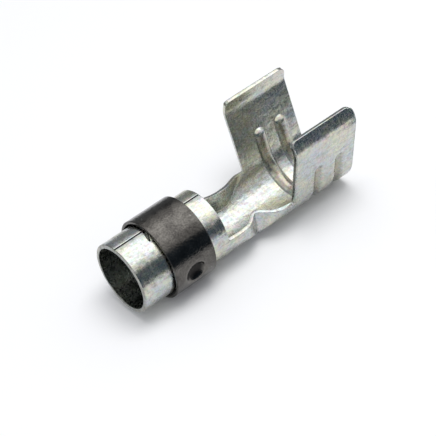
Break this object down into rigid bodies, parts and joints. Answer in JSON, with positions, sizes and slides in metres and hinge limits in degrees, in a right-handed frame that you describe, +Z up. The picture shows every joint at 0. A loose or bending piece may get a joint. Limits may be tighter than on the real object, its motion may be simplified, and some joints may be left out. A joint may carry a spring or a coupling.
{
  "type": "spark plug terminal",
  "caption": "Folded sheet steel spark plug terminal: split round socket with a spring ring, pinched open neck and a U-shaped crimp with tall wings for the ignition lead.",
  "frame": {"origin": "centre of the socket's mouth, on the barrel's axis", "axes": "+X along the barrel from the mouth to the crimp, +Z up through the seam and the crimp's open side"},
  "size_m": [0.0257, 0.0106, 0.0114],
  "materials": {
    "zinc_plate": "bright zinc plating with a faint spangle and fine scratches",
    "black_spring_steel": "satin black oxide"
  },
  "bodies": {
    "root": {"terminal": "zinc_plate", "spring_ring": "black_spring_steel"}
  },
  "joints": []
}
